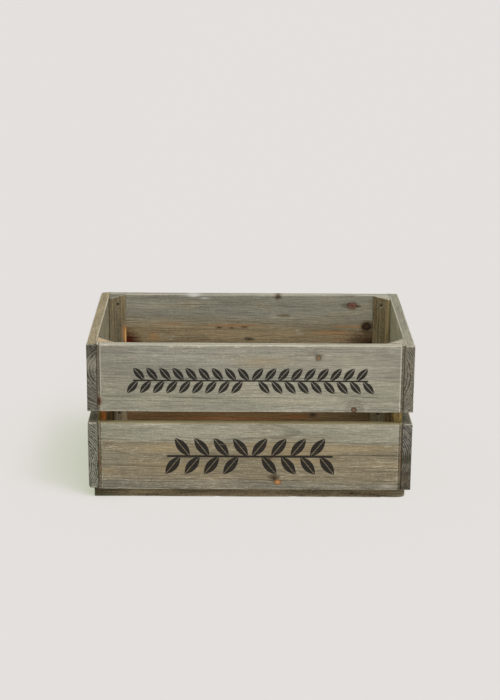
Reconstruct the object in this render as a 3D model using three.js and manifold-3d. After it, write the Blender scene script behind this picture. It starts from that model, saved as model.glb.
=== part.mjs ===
// Wooden crate planter
//
// Each side has an upper and a lower board with an open slot between them. The end boards run
// the full depth and the front and back boards sit between them. Brads hold all eight boards to
// three-cornered posts in the inside corners. The floor is a row of slats with drainage gaps.
//
// Millimetres, +Z up. The origin is on the ground under the middle of the crate. +X runs along
// the crate, and the front faces -Y.

import * as THREE from 'three';
import { mergeVertices } from 'three/addons/utils/BufferGeometryUtils.js';
import Module from 'manifold-3d';

// Driving dimensions: walls
const CRATE_LENGTH = 351; // over the end boards
const CRATE_DEPTH = 220; // over the front and back boards
const UPPER_BOARD_HEIGHT = 75;
const LOWER_BOARD_HEIGHT = 76;
const SLOT_HEIGHT = 13; // open, between the two boards of a side
const END_BOARD_THICKNESS = 10.5;
const FACE_BOARD_THICKNESS = 10; // the front and back boards
const CHAMFER_LENGTH = 3.8; // along a front board's face, from each of its ends
const CHAMFER_DEPTH = 1.6; // into that end
const EDGE_EASE = 0.8; // small flat on every other edge of a board or slat
const JOINT_GAP = 0.25; // between pieces of wood that meet

// Driving dimensions: corner posts
const POST_LEG = 18.5; // each of the two square sides
const POST_TIP = 1; // blunt end of a square side

// Driving dimensions: base slats
const BASE_THICKNESS = 10;
const BASE_SETBACK = 4; // from the front and back faces of the crate
const BASE_END_INSET = 5.5; // from the outside of the end boards
const DRAIN_GAP = 7; // between neighbouring slats

// Driving dimensions: brads
const SHANK_DIAMETER = 1.2;
const HEAD_DIAMETER = 2.4;
const HEAD_THICKNESS = 0.8;
const POINT_LENGTH = 1.5;
const HEAD_SINK = 0.4; // from the surface of the wood down to the head
const BRAD_CLEARANCE = 0.3; // around a brad, and past its point
const TIP_COVER = 2.5; // wood left in front of a brad's point
// Rows of brads, from the upper and lower edge of each board. Those of the end boards are clear
// of those of the front and back boards, because they meet in the posts.
const FACE_BRAD_ROWS = { upper: { top: 10, bottom: 10 }, lower: { top: 10, bottom: 19 } };
const END_BRAD_ROWS = { upper: { top: 18, bottom: 18 }, lower: { top: 18, bottom: 10 } };
const END_BRAD_IN_POST = 5.5; // from a post's square side to the end board's brads
const BASE_BRAD_BITE = 8; // into the lower edge of a board
const BASE_BRAD_FROM_END = 30; // from the ends of the front and back slats
const BASE_BRAD_FROM_SIDE = 14; // from the sides of the middle slat
const BRADS_PER_SLAT = 4;
const BRAD_SIDES = 8; // facets round a brad

// Which side of the middle each end and face lies on
const ENDS = { left: -1, right: 1 };
const FACES = { front: -1, back: 1 };
const SLATS = ['front', 'middle', 'back'];

// Places worked out from the driving dimensions
const innerX = CRATE_LENGTH / 2 - END_BOARD_THICKNESS; // inner face of an end board
const innerY = CRATE_DEPTH / 2 - FACE_BOARD_THICKNESS; // inner face of a front or back board
const wallBottom = BASE_THICKNESS + JOINT_GAP;
const upperBottom = wallBottom + LOWER_BOARD_HEIGHT + SLOT_HEIGHT;
const rim = upperBottom + UPPER_BOARD_HEIGHT;
const LEVELS = {
  lower: { bottom: wallBottom, height: LOWER_BOARD_HEIGHT },
  upper: { bottom: upperBottom, height: UPPER_BOARD_HEIGHT },
};
const baseHalfLength = CRATE_LENGTH / 2 - BASE_END_INSET;
const baseHalfDepth = CRATE_DEPTH / 2 - BASE_SETBACK;
const slatWidth = (2 * baseHalfDepth - (SLATS.length - 1) * DRAIN_GAP) / SLATS.length;

const boardWood = new THREE.MeshStandardMaterial({ color: 0x8f8b7b, roughness: 0.8, metalness: 0 });
const postWood = new THREE.MeshStandardMaterial({ color: 0x6b5f48, roughness: 0.85, metalness: 0 });
const slatWood = new THREE.MeshStandardMaterial({ color: 0x5f5442, roughness: 0.85, metalness: 0 });
const bradSteel = new THREE.MeshStandardMaterial({ color: 0x4a443d, roughness: 0.5, metalness: 0.9 });

const wasm = await Module();
wasm.setup();

// Closed geometry with shared corners and no empty triangles
function closed(geometry) {
  const bare = geometry.clone();
  bare.deleteAttribute('normal');
  bare.deleteAttribute('uv');
  const merged = mergeVertices(bare);
  const corners = Array.from(merged.index.array);
  const kept = [];
  for (let i = 0; i < corners.length; i += 3) {
    const [a, b, c] = corners.slice(i, i + 3);
    if (a !== b && b !== c && c !== a) {
      kept.push(a, b, c);
    }
  }
  merged.setIndex(kept);
  return merged;
}

function toSolid(geometry) {
  const merged = closed(geometry);
  return new wasm.Manifold(
    new wasm.Mesh({
      numProp: 3,
      vertProperties: new Float32Array(merged.attributes.position.array),
      triVerts: new Uint32Array(merged.index.array),
    }),
  );
}

function toGeometry(solid) {
  const { vertProperties, triVerts } = solid.getMesh();
  const geometry = new THREE.BufferGeometry();
  geometry.setAttribute('position', new THREE.BufferAttribute(vertProperties, 3));
  geometry.setIndex(new THREE.BufferAttribute(triVerts, 1));
  const faceted = geometry.toNonIndexed();
  faceted.computeVertexNormals();
  return faceted;
}

// A board or slat seen from above, with a flat cut off each upright edge, centred on the origin.
// The flats at the front can be larger than the eased edges at the back.
function boardOutline(length, width, frontCut = EDGE_EASE, frontDepth = EDGE_EASE) {
  const x = length / 2;
  const y = width / 2;
  return new THREE.Shape([
    new THREE.Vector2(-x + frontCut, -y),
    new THREE.Vector2(x - frontCut, -y),
    new THREE.Vector2(x, -y + frontDepth),
    new THREE.Vector2(x, y - EDGE_EASE),
    new THREE.Vector2(x - EDGE_EASE, y),
    new THREE.Vector2(-x + EDGE_EASE, y),
    new THREE.Vector2(-x, y - EDGE_EASE),
    new THREE.Vector2(-x, -y + frontDepth),
  ]);
}

// The outline stood up to a height, its top and bottom edges eased, resting on z = 0
function easedBlock(outline, height) {
  const geometry = new THREE.ExtrudeGeometry(outline, {
    depth: height - 2 * EDGE_EASE,
    bevelEnabled: true,
    bevelThickness: EDGE_EASE,
    bevelSize: EDGE_EASE,
    bevelOffset: -EDGE_EASE,
    bevelSegments: 1,
  });
  return geometry.translate(0, 0, EDGE_EASE);
}

// A post seen from above: a right angle at the origin, its square sides along +-x and +-y
function postOutline(alongX, alongY) {
  const corner = (x, y) => new THREE.Vector2(alongX * x, alongY * y);
  return new THREE.Shape([
    corner(0, 0),
    corner(POST_LEG, 0),
    corner(POST_LEG, POST_TIP),
    corner(POST_TIP, POST_LEG),
    corner(0, POST_LEG),
  ]);
}

// A brad on its own axis, its head up at y = 0 and its point down
function bradGeometry(length) {
  const shank = SHANK_DIAMETER / 2;
  const head = HEAD_DIAMETER / 2;
  const profile = [
    new THREE.Vector2(0, -length),
    new THREE.Vector2(shank, -length + POINT_LENGTH),
    new THREE.Vector2(shank, -HEAD_THICKNESS),
    new THREE.Vector2(head, -HEAD_THICKNESS),
    new THREE.Vector2(head, 0),
    new THREE.Vector2(0, 0),
  ];
  return closed(new THREE.LatheGeometry(profile, BRAD_SIDES));
}

// The hole that a brad sits in, open above its head by the height of the mouth
function holeGeometry(length, mouth) {
  const shank = SHANK_DIAMETER / 2 + BRAD_CLEARANCE;
  const head = HEAD_DIAMETER / 2 + BRAD_CLEARANCE;
  const shoulder = -HEAD_THICKNESS - BRAD_CLEARANCE;
  const profile = [
    new THREE.Vector2(0, -length - BRAD_CLEARANCE),
    new THREE.Vector2(shank, -length - BRAD_CLEARANCE),
    new THREE.Vector2(shank, shoulder),
    new THREE.Vector2(head, shoulder),
    new THREE.Vector2(head, mouth),
    new THREE.Vector2(0, mouth),
  ];
  return closed(new THREE.LatheGeometry(profile, BRAD_SIDES));
}

// Every piece of wood by name, as { geometry, place, material }
const wood = new Map();

function addEndBoards() {
  for (const [end, sideX] of Object.entries(ENDS)) {
    for (const [level, { bottom, height }] of Object.entries(LEVELS)) {
      const outline = boardOutline(END_BOARD_THICKNESS, CRATE_DEPTH);
      const place = new THREE.Vector3(sideX * (innerX + END_BOARD_THICKNESS / 2), 0, bottom);
      const geometry = easedBlock(outline, height);
      wood.set(`${end}_${level}_board`, { geometry, place, material: boardWood });
    }
  }
}

function addFaceBoards() {
  const length = 2 * (innerX - JOINT_GAP);
  const eased = boardOutline(length, FACE_BOARD_THICKNESS);
  const chamfered = boardOutline(length, FACE_BOARD_THICKNESS, CHAMFER_LENGTH, CHAMFER_DEPTH);
  for (const [face, sideY] of Object.entries(FACES)) {
    const outline = face === 'front' ? chamfered : eased;
    for (const [level, { bottom, height }] of Object.entries(LEVELS)) {
      const place = new THREE.Vector3(0, sideY * (innerY + FACE_BOARD_THICKNESS / 2), bottom);
      const geometry = easedBlock(outline, height);
      wood.set(`${face}_${level}_board`, { geometry, place, material: boardWood });
    }
  }
}

// The right-angled edge of a post, just inside the corner that it stands in
function postCorner(sideX, sideY) {
  return new THREE.Vector3(sideX * (innerX - JOINT_GAP), sideY * (innerY - JOINT_GAP), wallBottom);
}

function addPosts() {
  for (const [face, sideY] of Object.entries(FACES)) {
    for (const [end, sideX] of Object.entries(ENDS)) {
      const geometry = new THREE.ExtrudeGeometry(postOutline(-sideX, -sideY), {
        depth: rim - wallBottom,
        bevelEnabled: false,
      });
      const place = postCorner(sideX, sideY);
      wood.set(`${face}_${end}_post`, { geometry, place, material: postWood });
    }
  }
}

function slatMiddle(index) {
  return -baseHalfDepth + slatWidth / 2 + index * (slatWidth + DRAIN_GAP);
}

function addSlats() {
  SLATS.forEach((slat, index) => {
    const outline = boardOutline(2 * baseHalfLength, slatWidth);
    const place = new THREE.Vector3(0, slatMiddle(index), 0);
    const geometry = easedBlock(outline, BASE_THICKNESS);
    wood.set(`${slat}_base_slat`, { geometry, place, material: slatWood });
  });
}

// Every brad, as { name, head, drive, length, mouth, through }: the middle of its head's top, the
// way it was driven, how far its hole opens above the head, and the two pieces that it holds
const brads = [];

function addBrad(name, head, tip, mouth, through) {
  const drive = tip.clone().sub(head);
  const length = drive.length();
  brads.push({ name, head, drive: drive.normalize(), length, mouth, through });
}

// Heights of the rows of brads near the upper and lower edge of a board
function rowHeights({ bottom, height }, fromEdge) {
  return { top: bottom + height - fromEdge.top, bottom: bottom + fromEdge.bottom };
}

// Driven from inside, through the slanted face of a post into a front or back board. The head
// goes in until its low side is under the slant.
function addFaceBrads(face, end, level) {
  const sideX = ENDS[end];
  const sideY = FACES[face];
  const corner = postCorner(sideX, sideY);
  const slant = (POST_LEG + POST_TIP) / 2;
  const sink = HEAD_DIAMETER / 2 + HEAD_SINK;
  const x = corner.x - sideX * slant;
  const headY = corner.y - sideY * (slant - sink);
  const tipY = sideY * (CRATE_DEPTH / 2 - TIP_COVER);
  const mouth = sink + HEAD_DIAMETER;
  for (const [row, z] of Object.entries(rowHeights(LEVELS[level], FACE_BRAD_ROWS[level]))) {
    addBrad(
      `${face}_${level}_brad_${end}_${row}`,
      new THREE.Vector3(x, headY, z),
      new THREE.Vector3(x, tipY, z),
      mouth,
      [`${face}_${end}_post`, `${face}_${level}_board`],
    );
  }
}

// Driven from outside, through an end board into a post
function addEndBrads(face, end, level) {
  const sideX = ENDS[end];
  const corner = postCorner(sideX, FACES[face]);
  const y = corner.y - FACES[face] * END_BRAD_IN_POST;
  const slant = POST_LEG + POST_TIP - END_BRAD_IN_POST;
  const headX = sideX * (CRATE_LENGTH / 2 - HEAD_SINK);
  const tipX = corner.x - sideX * (slant - TIP_COVER);
  for (const [row, z] of Object.entries(rowHeights(LEVELS[level], END_BRAD_ROWS[level]))) {
    addBrad(
      `${end}_${level}_brad_${face}_${row}`,
      new THREE.Vector3(headX, y, z),
      new THREE.Vector3(tipX, y, z),
      2 * HEAD_SINK,
      [`${end}_${level}_board`, `${face}_${end}_post`],
    );
  }
}

// Driven from below, into the lower edges of the boards that a slat lies under
function addBaseBrads(slat, index) {
  const headZ = HEAD_SINK;
  const tipZ = wallBottom + BASE_BRAD_BITE;
  const face = FACES[slat];
  const endX = (innerX + baseHalfLength) / 2;
  const faceY = (innerY + baseHalfDepth) / 2;
  const reach = baseHalfLength - BASE_BRAD_FROM_END;
  const sideways = slatWidth / 2 - BASE_BRAD_FROM_SIDE;
  for (let n = 0; n < BRADS_PER_SLAT; n += 1) {
    const step = n / (BRADS_PER_SLAT - 1);
    const sideX = n % 2 === 0 ? ENDS.left : ENDS.right;
    const row = Math.floor(n / 2) === 0 ? -1 : 1;
    const x = face ? THREE.MathUtils.lerp(-reach, reach, step) : sideX * endX;
    const y = face ? face * faceY : slatMiddle(index) + row * sideways;
    const board = face ? `${slat}_lower_board` : `${sideX < 0 ? 'left' : 'right'}_lower_board`;
    addBrad(
      `${slat}_base_brad_${n + 1}`,
      new THREE.Vector3(x, y, headZ),
      new THREE.Vector3(x, y, tipZ),
      2 * HEAD_SINK,
      [`${slat}_base_slat`, board],
    );
  }
}

function addBrads() {
  for (const face of Object.keys(FACES)) {
    for (const end of Object.keys(ENDS)) {
      for (const level of Object.keys(LEVELS)) {
        addFaceBrads(face, end, level);
        addEndBrads(face, end, level);
      }
    }
  }
  SLATS.forEach(addBaseBrads);
}

// Turns a brad or its hole to the way that the brad was driven
function turned(drive) {
  return new THREE.Quaternion().setFromUnitVectors(new THREE.Vector3(0, -1, 0), drive);
}

// A piece of wood with the hole of every brad that goes into it
function drilled(name, { geometry, place }) {
  let solid = toSolid(geometry);
  for (const { head, drive, length, mouth, through } of brads) {
    if (through.includes(name)) {
      const hole = holeGeometry(length, mouth);
      hole.applyQuaternion(turned(drive));
      hole.translate(head.x - place.x, head.y - place.y, head.z - place.z);
      solid = solid.subtract(toSolid(hole));
    }
  }
  return toGeometry(solid);
}

function woodMesh(name, piece) {
  const mesh = new THREE.Mesh(drilled(name, piece), piece.material);
  mesh.name = name;
  mesh.position.copy(piece.place);
  return mesh;
}

function bradMesh({ name, head, drive, length }) {
  const mesh = new THREE.Mesh(bradGeometry(length), bradSteel);
  mesh.name = name;
  mesh.position.copy(head);
  mesh.quaternion.copy(turned(drive));
  return mesh;
}

addEndBoards();
addFaceBoards();
addPosts();
addSlats();
addBrads();

const woodwork = new THREE.Group();
for (const [name, piece] of wood) {
  woodwork.add(woodMesh(name, piece));
}

const fastenings = new THREE.Group();
for (const brad of brads) {
  fastenings.add(bradMesh(brad));
}

const crate = new THREE.Group();
crate.add(woodwork, fastenings);

export default crate;
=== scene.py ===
# Looks of the wooden crate planter, built around its imported frame.
#
# Every board, post and slat is replaced by a worn copy of its solid: the arrises are rubbed round,
# the faces are uneven and each brad head sits in a dimple. One wood material is written for each
# piece from its growth rings, fibres, wash, knots and wear, with some painted light and shade.
# The brads keep their own meshes.

import math
from dataclasses import dataclass, replace

import bpy
import numpy as np
from mathutils import Matrix, Vector


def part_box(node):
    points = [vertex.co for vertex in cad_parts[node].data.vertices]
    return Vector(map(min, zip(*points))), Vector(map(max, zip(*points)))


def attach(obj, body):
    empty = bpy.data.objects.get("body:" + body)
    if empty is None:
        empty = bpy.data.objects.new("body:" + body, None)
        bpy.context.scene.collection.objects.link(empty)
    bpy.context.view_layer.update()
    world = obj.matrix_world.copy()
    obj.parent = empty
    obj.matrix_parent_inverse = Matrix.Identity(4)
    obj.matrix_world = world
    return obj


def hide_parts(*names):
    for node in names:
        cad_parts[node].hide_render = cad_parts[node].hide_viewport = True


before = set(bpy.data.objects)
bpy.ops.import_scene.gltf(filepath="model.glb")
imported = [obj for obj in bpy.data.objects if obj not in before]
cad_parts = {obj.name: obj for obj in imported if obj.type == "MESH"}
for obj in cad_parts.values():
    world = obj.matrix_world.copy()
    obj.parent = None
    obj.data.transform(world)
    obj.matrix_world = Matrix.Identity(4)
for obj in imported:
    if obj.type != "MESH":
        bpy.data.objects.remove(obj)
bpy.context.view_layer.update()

MM = 0.001  # metres
X, Y, Z = 0, 1, 2

# Construction that the worn copies share with the solids, in millimetres
CHAMFER_LENGTH = 3.8
CHAMFER_DEPTH = 1.6
POST_TIP = 1
BRAD_HEAD_RADIUS = 1.2

# Spacing of mesh stations, in millimetres
ALONG_STEP = 5
ACROSS_STEP = 2
EDGE_STATIONS = (0, 0.25, 0.55, 0.95, 1.5, 2.2, 2.9, 3.4, 3.8, 4.2, 4.8, 6)
BRAD_STATIONS = (-2.4, -1.8, -1.3, -0.7, 0, 0.7, 1.3, 1.8, 2.4)
CLOSEST_STATIONS = 0.2

# Wear of the wood, in millimetres
ARRIS_RADIUS = 0.5
ARRIS_RUB = 0.8
NICK_RADIUS = 1.6
JOINT_RADIUS = 0.12
JOINT_REACH = (0.8, 2.5)
UNEVENNESS = 0.22
SAWN_END_UNEVENNESS = 0.3
ARRIS_REACH = 0.8  # of the rubbing, beyond a round arris
RADIUS_TO_BLEND = 1.17  # a smooth maximum this wide, times the radius, follows a round arris
FITTING_PASSES = 6
DIMPLE_FLOOR = 0.12  # below the top of a brad's head
DIMPLE_INNER = BRAD_HEAD_RADIUS + 0.15
DIMPLE_OUTER = BRAD_HEAD_RADIUS + 0.7
# Reach of the brads' stain and of the shade painted in and round their dimples
STAIN_AND_SHADE_REACH = 2.1

# Sizes of the worn patches along, across and through the grain, in millimetres
RUB_PATCH = (28, 14, 14)
NICK_PATCH = (7, 5, 5)
SLOW_PATCH = (95, 34, 34)
CLOSE_PATCH = (26, 7, 7)
SAWN_PATCH = (9, 5, 3)

# Light on an open floor, where 1 shows a colour as it is written
LIGHT_LEVEL = 1.12

# Soft edges on the floor, as (start, end) in metres: the crate's shadow, and the floor under the crate
SHADOW_FRONT = (-0.215, -0.175)
SHADOW_SIDE = (0.02, 0.08)
SHADOW_END = (0.225, 0.285)
UNDER_LENGTH = (0.15, 0.165)
UNDER_DEPTH = (0.09, 0.1)

# Share of the seen floor that takes real light: everywhere, and more of it in the crate's shadow
LIT_EVERYWHERE = 0.1
LIT_IN_SHADOW = 0.32

INK_BLUR = 0.15  # of the print's edges, in millimetres


def colour(*channels):
    """Scene colour, with alpha, of a red, green and blue written as they show on a screen."""
    levels = [channel / 255 for channel in channels]
    linear = [level / 12.92 if level <= 0.04045 else ((level + 0.055) / 1.055) ** 2.4 for level in levels]
    return (*linear, 1.0)


def fade(*stops):
    """How a mark fades outwards, from stops of (share of its radius, red, green, blue, strength)."""
    return tuple((share, colour(*shade), strength) for share, *shade, strength in stops)


def stain(core, rim, strength):
    """The fade of a soft stain, from its core to nothing at its rim."""
    middle = [(inner + outer) / 2 for inner, outer in zip(core, rim)]
    return fade((0, *core, strength), (0.55, *middle, 0.7 * strength), (1, *rim, 0))


# Colours of the wood and the brads
GREY_WASH = colour(153, 149, 134)
PALE_WASH = colour(157, 153, 134)
DULL_WASH = colour(137, 131, 114)
DARK_WASH = colour(119, 114, 99)
WARM_WASH = colour(142, 131, 107)
OLIVE_WASH = colour(152, 145, 119)
# Partly painted light, for the right upper board's inner face
LIGHT_OLIVE = colour(182, 177, 150)
# Colours of the back board's inner face, lighter than its outer washes: partly the wood's own colour and
# partly painted light for the crate's shaded inside
SHADED_GREY = colour(160, 156, 139)
SHADED_WARM = colour(173, 162, 135)
SHADED_BROWN = colour(160, 142, 109)
ORANGE_BROWN = colour(131, 104, 68)
TAN_WOOD = colour(163, 142, 105)
BLEACHED_WOOD = colour(188, 184, 166)
RUBBED_WOOD = colour(208, 200, 180)
YELLOW_EDGE = colour(152, 138, 95)
TOP_GREY = colour(166, 161, 143)
TOP_DULL = colour(143, 139, 121)
TOP_DARK = colour(112, 108, 92)
TOP_TAN = colour(145, 132, 103)
GREY_END = colour(104, 100, 89)
MOTTLED_END = colour(116, 111, 97)
GREEN_END = colour(110, 110, 96)
PURPLE_END = colour(97, 93, 85)
GREY_CHAMFER = colour(113, 106, 88)
BROWN_CHAMFER = colour(116, 106, 86)
POST_BROWN = colour(154, 139, 108)
POST_GREY = colour(118, 112, 89)
POST_OCHRE = colour(182, 158, 118)
POST_UMBER = colour(84, 68, 44)
POST_DARK = colour(91, 82, 59)
POST_TAN = colour(129, 118, 88)
POST_MOSS = colour(124, 106, 60)
POST_ORANGE = colour(160, 98, 46)
POST_YELLOW = colour(164, 139, 90)
POST_TOP_TAN = colour(180, 159, 128)
SLAT_BROWN = colour(112, 99, 76)
SLAT_GREEN = colour(74, 73, 54)
# Dark wood round the brads: their stain, with painted shade in their dimples
STAIN_AND_SHADE_AT_BRADS = colour(70, 58, 42)
INK = colour(36, 33, 30)
DULL_STEEL = colour(112, 103, 90)
RUSTY_STEEL = colour(104, 74, 50)

# Colour of the floor, how much of its red, green and blue the shadow takes, and tints of the light
PALE_FLOOR = colour(228, 224, 221)
SHADOW_TAKES = (1.1, 0.9, 1.3)
LAMP_TINT = (1.02, 0.98, 1.13)
SKY_TINT = (0.98, 1.02, 0.91, 1.0)

# How knots, stains, scuffs and a painted highlight fade
TAN_KNOT = fade(
    (0, 190, 153, 106, 0.95), (0.13, 162, 122, 79, 0.95), (0.2, 104, 76, 50, 0.95),
    (0.27, 62, 48, 36, 0.94), (0.36, 90, 81, 66, 0.66), (0.5, 118, 112, 96, 0.3),
    (1, 130, 126, 110, 0),
)
BROWN_KNOT = fade(
    (0, 164, 124, 94, 0.92), (0.11, 124, 86, 62, 0.92), (0.18, 58, 43, 33, 0.94),
    (0.27, 84, 72, 57, 0.75), (0.36, 132, 124, 104, 0.3), (0.45, 124, 116, 97, 0.32),
    (0.53, 84, 76, 62, 0.52), (0.62, 124, 116, 98, 0.22), (0.73, 94, 86, 72, 0.34),
    (1, 136, 130, 114, 0),
)
RED_KNOT = fade(
    (0, 56, 32, 28, 0.92), (0.12, 116, 66, 56, 0.92), (0.38, 136, 91, 76, 0.88),
    (0.5, 74, 54, 43, 0.82), (0.66, 110, 97, 81, 0.45), (1, 140, 134, 118, 0),
)
DARK_KNOT = fade(
    (0, 98, 74, 45, 0.94), (0.2, 46, 33, 18, 0.96), (0.5, 54, 39, 22, 0.93),
    (0.68, 88, 68, 41, 0.58), (0.86, 118, 98, 67, 0.22), (1, 126, 110, 82, 0),
)
RUDDY_KNOT = fade(
    (0, 52, 27, 13, 0.95), (0.35, 88, 54, 32, 0.85), (0.6, 118, 100, 77, 0.45),
    (1, 136, 128, 108, 0),
)
# A dark red-brown patch on the back board's inner face, beside the back left post
DARK_RED_PATCH = fade(
    (0, 92, 29, 7, 0.98), (0.45, 76, 31, 11, 0.95), (0.75, 108, 71, 38, 0.52),
    (1, 138, 112, 76, 0),
)
ORANGE_STAIN = fade(
    (0, 210, 154, 88, 0.92), (0.4, 188, 126, 66, 0.84), (0.66, 128, 90, 54, 0.55),
    (1, 130, 116, 92, 0),
)
# Painted highlight: a glowing orange line of light along the back left post's inner arris
PAINTED_EDGE_HIGHLIGHT = fade(
    (0, 255, 232, 172, 1), (0.35, 255, 206, 122, 0.98), (0.7, 242, 152, 66, 0.9),
    (1, 150, 106, 62, 0),
)
DARK_FLECK = fade(
    (0, 58, 38, 22, 0.9), (0.3, 78, 55, 34, 0.75), (0.6, 112, 88, 60, 0.35),
    (1, 136, 116, 84, 0),
)
PALE_SCUFF = fade(
    (0, 232, 230, 228, 0.95), (0.25, 212, 209, 203, 0.62), (0.55, 176, 172, 160, 0.18),
    (1, 156, 152, 138, 0),
)
FAINT_SCUFF = fade(
    (0, 206, 200, 183, 0.55), (0.25, 196, 189, 170, 0.38), (0.55, 178, 170, 150, 0.15),
    (1, 160, 152, 132, 0),
)
SMUDGE = stain((48, 37, 25), (110, 98, 76), 0.95)
ORANGE_HAZE = stain((200, 148, 96), (170, 140, 102), 0.6)
TAN_STAIN = stain((172, 150, 110), (154, 140, 110), 0.45)
RUDDY_STAIN = stain((178, 124, 76), (156, 134, 100), 0.65)
RED_STREAK = stain((188, 102, 46), (131, 104, 68), 0.62)
RUST_STAIN = stain((126, 96, 66), (110, 98, 76), 0.9)
# A dark line on each chamfer of the front boards, next to its arris
CHAMFER_DARK_LINE = stain((66, 60, 46), (96, 90, 74), 0.82)
DARK_RUST = stain((62, 41, 23), (112, 88, 58), 0.98)
GREY_SHADE = stain((130, 126, 111), (138, 134, 118), 0.4)
PALE_PATCH = stain((188, 181, 160), (170, 163, 143), 0.36)
DINGY_STAIN = stain((84, 71, 44), (86, 79, 66), 0.62)
DAMP_STAIN = stain((56, 56, 38), (88, 80, 60), 0.86)
DRY_END = stain((122, 116, 96), (101, 89, 68), 0.75)
DULL_EDGE = stain((128, 117, 84), (138, 128, 100), 0.7)
BRIGHT_EDGE = stain((206, 202, 188), (178, 174, 160), 0.5)
DARK_END = stain((52, 46, 36), (84, 78, 66), 0.55)
SMOOTH_END = stain((101, 97, 86), (102, 98, 88), 0.38)


@dataclass(frozen=True)
class Mark:
    """A knot, stain, scuff or painted highlight at a place along and across the grain, in crate millimetres.
    """

    along: float
    across: float
    length: float
    width: float
    fade: tuple
    bends_grain: bool = False


@dataclass(frozen=True)
class LeafRow:
    """A stencilled stem with leaves, mirrored about the middle of a board, in millimetres."""

    height: float
    half_length: float
    pitch: float
    leaf_length: float
    leaf_width: float
    lean: float  # degrees from the stem
    stem: float


@dataclass(frozen=True)
class Look:
    """What sets one piece of wood apart from the next."""

    seed: int
    bands: tuple  # (share of the width from its lower edge, colour)
    edge: tuple  # colour of the two narrow faces along the grain
    end: tuple  # colour of sawn ends and chamfers
    pith: tuple  # middle of the growth rings, across and through, from the middle of the piece
    ring: float = 2.3  # between growth rings, in millimetres
    line: float = 0.16  # darkness of growth rings on the faces
    end_line: float = 0.6  # contrast of growth rings on the sawn ends
    grain: float = 0.75  # contrast of the grain
    fine: float = 1.0  # share of the contrast and height that the finest fibres keep
    bleach: float = 0.2  # strength of the pale flecks
    rub: float = 0.6  # lightness of the rubbed arrises
    warmth: float = 0.35  # strength of the tan patches
    slope: float = 0.0  # rise of the grain along the piece
    back_bands: tuple = ()  # bands of the face turned to the back, where stains don't reach it
    cracks: tuple = ()  # heights of long dark grain lines, in crate millimetres
    marks: tuple = ()
    leaves: LeafRow = None


def marks_of(kind, *places):
    """Marks that fade alike, each place as (along, across, length, width)."""
    return [Mark(*place, kind) for place in places]


FRONT_UPPER_MARKS = (
    Mark(72.3, 160.7, 10.5, 10, TAN_KNOT, True),
    Mark(111.6, 102.4, 13, 12, BROWN_KNOT, True),
    Mark(12, 156, 40, 9, TAN_STAIN),
    Mark(110, 148, 75, 24, PALE_PATCH),
    *marks_of(GREY_SHADE, (-142, 140, 46, 40), (-146, 107, 30, 11)),
    *marks_of(CHAMFER_DARK_LINE, (-162, 136, 1.1, 90), (162.2, 136, 1.1, 90)),
    *marks_of(BRIGHT_EDGE, (-160.6, 136, 1, 90), (160.8, 136, 1, 90)),
    Mark(-162.8, 110.5, 5.2, 10, RUDDY_KNOT, True),
)
FRONT_LOWER_MARKS = (
    Mark(21.8, 46.9, 6, 5, DARK_FLECK, True),
    Mark(26, 24.4, 9, 5, SMUDGE, True),
    Mark(27.2, 22.6, 3.6, 6, SMUDGE),
    Mark(30.4, 19.2, 5.4, 4.6, ORANGE_STAIN),
    *marks_of(TAN_STAIN, (-156, 31.5, 18, 4), (-92, 57, 40, 7), (-72, 35, 58, 9), (46, 57, 75, 19)),
    *marks_of(GREY_SHADE, (-138, 79, 44, 8), (-146, 47, 26, 12)),
    *marks_of(TAN_STAIN, (120, 57.5, 55, 6), (60, 42, 50, 5)),
    *marks_of(RUST_STAIN, (-163.2, 42, 2.4, 22), (163.2, 40, 2.2, 20)),
    *marks_of(CHAMFER_DARK_LINE, (-161.5, 48, 1.1, 90), (161.5, 48, 1.1, 90)),
    Mark(164, 14, 5, 8, DAMP_STAIN),
    Mark(150, 15, 22, 4, FAINT_SCUFF),
    Mark(0, 85.8, 600, 1, DULL_EDGE),
)
BACK_UPPER_MARKS = (
    *marks_of(PALE_PATCH, (-118, 158, 32, 9), (72, 151, 48, 12)),
    Mark(127, 135.8, 10, 2.8, ORANGE_HAZE),
    *marks_of(RUDDY_STAIN, (-20, 136.5, 60, 3), (-92, 138.5, 26, 2.2), (112.5, 136, 24, 2.4)),
    Mark(99, 128, 32, 4, ORANGE_HAZE),
    Mark(108, 120.6, 18, 2.2, RUDDY_STAIN),
    Mark(143, 116.5, 38, 18, DARK_RUST),
    Mark(113.5, 162.4, 9, 3.4, DINGY_STAIN),
    Mark(128.6, 161, 4.6, 2, SMUDGE),
    Mark(121.4, 161.6, 10.4, 7, RED_KNOT, True),
    Mark(139.2, 136, 10.5, 9, DARK_KNOT, True),
    Mark(33.8, 172.5, 7, 6.5, DARK_FLECK, True),
    Mark(-147, 114.5, 22, 19.5, DARK_RED_PATCH),
    Mark(-113, 122.4, 8.5, 8.5, ORANGE_HAZE),
    *marks_of(FAINT_SCUFF, (-90.5, 123, 8, 2.6), (-93, 119, 7, 3), (-103.5, 125.5, 9, 2.4)),
    *marks_of(FAINT_SCUFF, (57, 131, 7, 3), (60, 126.5, 10, 2.4)),
    *marks_of(DARK_FLECK, (-36.1, 133.9, 7.5, 2.3), (-21, 133.5, 7, 1.9), (-6, 134.5, 8, 2.2)),
    Mark(-1, 120.2, 9, 3.2, SMUDGE),
    *marks_of(PALE_SCUFF, (-66, 172.6, 22, 5), (-53, 170, 15, 4)),
    *marks_of(FAINT_SCUFF, (30, 147, 18, 2.8), (50, 146, 9, 2.2)),
    Mark(40.5, 149, 11, 1.9, RUST_STAIN),
)

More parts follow.
